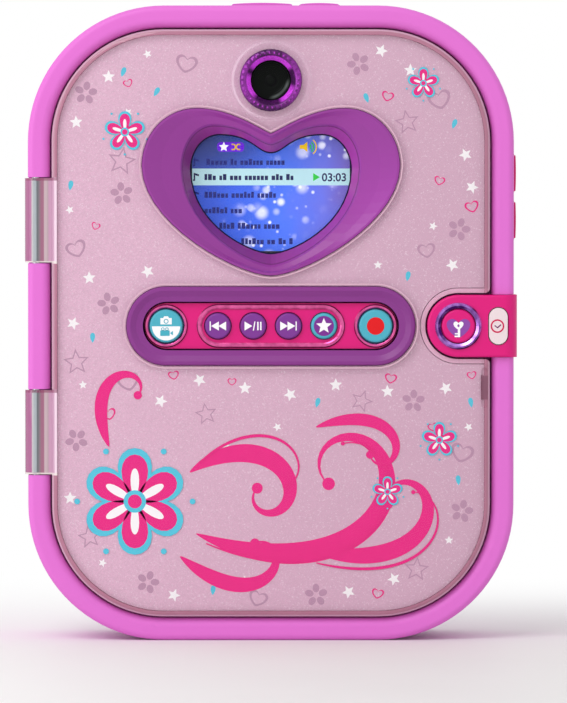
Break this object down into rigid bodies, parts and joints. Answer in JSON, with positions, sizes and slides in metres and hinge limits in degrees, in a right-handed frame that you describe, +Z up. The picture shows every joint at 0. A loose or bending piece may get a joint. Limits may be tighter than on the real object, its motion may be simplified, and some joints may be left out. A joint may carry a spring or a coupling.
{
  "type": "electronic secret diary",
  "caption": "Child's electronic secret diary: a pink case with a hinged clear cover, a heart-shaped screen window, a camera, push buttons, a motor lock and a storage tray.",
  "frame": {"origin": "middle of the bounding box's foot, where the case stands on its flat lower side", "axes": "+Z up the page, +X towards the lock, -Y out of the front cover"},
  "size_m": [0.152, 0.046, 0.197],
  "materials": {
    "case_plastic": "satin moulded magenta-pink",
    "hot_pink_plastic": "glossy moulded",
    "clear_plastic": "clear polished moulded plastic",
    "glitter_card": "dusty pink card with fine glitter",
    "purple_plastic": "glossy pearl purple",
    "purple_chrome": "tinted bright plating",
    "pink_chrome": "tinted bright plating",
    "teal_plastic": "glossy moulded",
    "violet_plastic": "glossy moulded",
    "white_plastic": "glossy moulded",
    "liner_plastic": "fine matt moulded",
    "lens_glass": "smoked polished",
    "lens_black": "polished, with fine rings",
    "display": "lit screen",
    "board_green": "solder mask",
    "black_plastic": "fine matt moulded",
    "silicone": "matt moulded",
    "steel": "bright drawn",
    "cell_wrap": "printed shrink sleeve",
    "paper_pages": "soft card cover with white pages"
  },
  "bodies": {
    "case": {"back_shell": "case_plastic", "front_frame": "case_plastic", "deck_panel": "case_plastic", "storage_tray": "liner_plastic", "notebook": "paper_pages", "screen_lens": "lens_glass", "display_module": "display", "camera_lens": "lens_black", "camera_module": "black_plastic", "button_plate": "hot_pink_plastic", "button_rings": "pink_chrome", "lock_housing": "hot_pink_plastic", "key_button_ring": "purple_chrome", "lock_board": "board_green", "lock_motor": "steel", "main_board": "board_green", "keypad_membrane": "silicone", "speaker": "black_plastic", "microphone": "steel", "port_block": "black_plastic", "batteries": "cell_wrap", "battery_contacts": "steel", "battery_door": "case_plastic", "battery_door_screw": "steel", "case_screws": "steel", "hinge_pins": "steel"},
    "cover": {"clear_cover": "clear_plastic", "art_card": "glitter_card", "heart_bezel": "purple_plastic", "strip_bezel": "purple_plastic", "camera_ring": "purple_chrome", "cover_liner": "liner_plastic", "card_support": "liner_plastic", "latch_frame": "liner_plastic", "lock_keeper": "steel"},
    "lock_bolt": {"lock_bolt": "steel"},
    "lock_pinion": {"lock_pinion": "white_plastic"},
    "port_cover": {"port_cover": "case_plastic"},
    "power_button": {"power_button": "case_plastic"},
    "video_button": {"video_button": "teal_plastic"},
    "previous_button": {"previous_button": "violet_plastic"},
    "play_button": {"play_button": "violet_plastic"},
    "next_button": {"next_button": "violet_plastic"},
    "favourites_button": {"favourites_button": "teal_plastic"},
    "record_button": {"record_button": "teal_plastic"},
    "key_button": {"key_button": "hot_pink_plastic"},
    "clock_button": {"clock_button": "white_plastic"},
    "louder_button": {"louder_button": "hot_pink_plastic"},
    "quieter_button": {"quieter_button": "hot_pink_plastic"}
  },
  "joints": [
    {"name": "cover_hinge", "type": "hinge", "parent": "case", "child": "cover", "pos_m": [-0.0724, -0.0165, 0.098], "axis": [0, 0, -1], "range_deg": [0, 170]},
    {"name": "lock_bolt_slide", "type": "slide", "parent": "case", "child": "lock_bolt", "axis": [-1, 0, 0], "range_m": [0, 0.005]},
    {"name": "lock_pinion_spin", "type": "hinge", "parent": "case", "child": "lock_pinion", "pos_m": [0.058, -0.013, 0.0935], "axis": [0, -1, 0], "range_deg": [0, 115]},
    {"name": "port_cover_hinge", "type": "hinge", "parent": "case", "child": "port_cover", "pos_m": [-0.00275, -0.004, 0.1951], "axis": [-1, 0, 0], "range_deg": [0, 100]},
    {"name": "power_press", "type": "slide", "parent": "case", "child": "power_button", "axis": [0, 0, -1], "range_m": [0, 0.0006], "stiffness_N_per_m": 60, "springref_m": -0.001},
    {"name": "video_press", "type": "slide", "parent": "case", "child": "video_button", "axis": [0, 1, 0], "range_m": [0, 0.0008], "stiffness_N_per_m": 60, "springref_m": -0.001},
    {"name": "previous_press", "type": "slide", "parent": "case", "child": "previous_button", "axis": [0, 1, 0], "range_m": [0, 0.0008], "stiffness_N_per_m": 60, "springref_m": -0.001},
    {"name": "play_press", "type": "slide", "parent": "case", "child": "play_button", "axis": [0, 1, 0], "range_m": [0, 0.0008], "stiffness_N_per_m": 60, "springref_m": -0.001},
    {"name": "next_press", "type": "slide", "parent": "case", "child": "next_button", "axis": [0, 1, 0], "range_m": [0, 0.0008], "stiffness_N_per_m": 60, "springref_m": -0.001},
    {"name": "favourites_press", "type": "slide", "parent": "case", "child": "favourites_button", "axis": [0, 1, 0], "range_m": [0, 0.0008], "stiffness_N_per_m": 60, "springref_m": -0.001},
    {"name": "record_press", "type": "slide", "parent": "case", "child": "record_button", "axis": [0, 1, 0], "range_m": [0, 0.0008], "stiffness_N_per_m": 60, "springref_m": -0.001},
    {"name": "key_press", "type": "slide", "parent": "case", "child": "key_button", "axis": [0, 1, 0], "range_m": [0, 0.0008], "stiffness_N_per_m": 60, "springref_m": -0.001},
    {"name": "clock_press", "type": "slide", "parent": "case", "child": "clock_button", "axis": [0, 1, 0], "range_m": [0, 0.0008], "stiffness_N_per_m": 60, "springref_m": -0.001},
    {"name": "louder_press", "type": "slide", "parent": "case", "child": "louder_button", "axis": [-1, 0, 0], "range_m": [0, 0.0006], "stiffness_N_per_m": 60, "springref_m": -0.001},
    {"name": "quieter_press", "type": "slide", "parent": "case", "child": "quieter_button", "axis": [-1, 0, 0], "range_m": [0, 0.0006], "stiffness_N_per_m": 60, "springref_m": -0.001}
  ],
  "couplings": [
    {"joint": "lock_pinion_spin", "follows": "lock_bolt_slide", "rad_per_m": 400}
  ]
}
